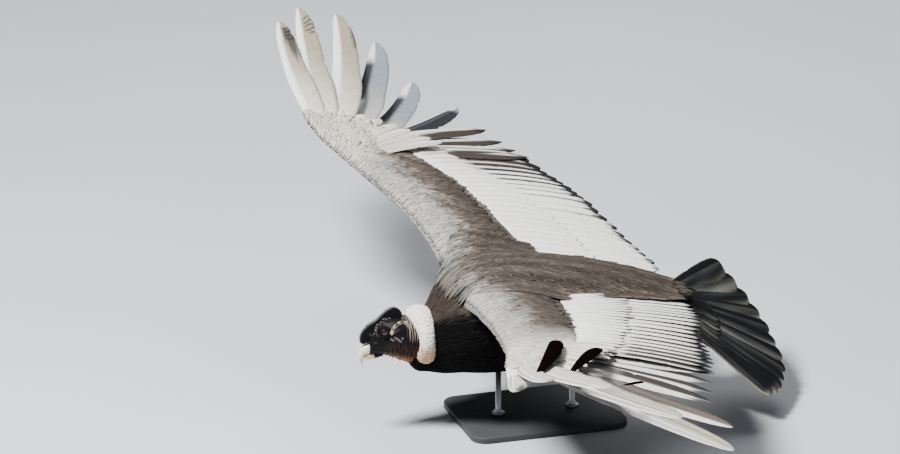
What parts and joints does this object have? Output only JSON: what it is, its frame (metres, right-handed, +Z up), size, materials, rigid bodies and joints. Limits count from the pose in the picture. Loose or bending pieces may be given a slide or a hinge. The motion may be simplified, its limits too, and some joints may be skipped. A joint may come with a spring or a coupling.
{
  "type": "andean condor",
  "caption": "Life-size soaring adult male Andean condor with spread wings and lowered tail, held by a plain display stand.",
  "frame": {"origin": "middle of the underside of the stand's base plate, on the floor under the bird's balance point", "axes": "+Z up, -X towards the bill, +Y towards the bird's right wing tip"},
  "size_m": [1.0855, 2.7108, 0.6203],
  "materials": {
    "dark_plumage": "black to brown-black contour feathers, soft sheen",
    "wing_feathers": "silver-grey and white feathers with black tips, satin",
    "white_down": "soft white down",
    "bare_skin": "wrinkled dark skin, slightly glossy",
    "bill_horn": "ivory horn, polished by wear",
    "eye": "brown iris under a clear wet surface",
    "leg_skin": "grey scaled skin, dull",
    "claw_horn": "dark blunt claws, satin",
    "stand_plate": "matte dark powder coat",
    "stand_steel": "brushed"
  },
  "bodies": {
    "root": {"torso": "dark_plumage", "neck": "bare_skin", "head": "bare_skin", "comb": "bare_skin", "bill_upper": "bill_horn", "bill_lower": "bill_horn", "eye_left": "eye", "eye_right": "eye", "ruff": "white_down", "inner_wing_left": "wing_feathers", "outer_wing_left": "wing_feathers", "inner_wing_right": "wing_feathers", "outer_wing_right": "wing_feathers", "tail": "dark_plumage", "leg_left": "leg_skin", "leg_right": "leg_skin", "foot_left": "leg_skin", "foot_right": "leg_skin", "claw_left_inner": "claw_horn", "claw_left_middle": "claw_horn", "claw_left_outer": "claw_horn", "claw_left_hind": "claw_horn", "claw_right_inner": "claw_horn", "claw_right_middle": "claw_horn", "claw_right_outer": "claw_horn", "claw_right_hind": "claw_horn", "stand_base": "stand_plate", "stand_rod_front": "stand_steel", "stand_rod_rear": "stand_steel"}
  },
  "joints": []
}
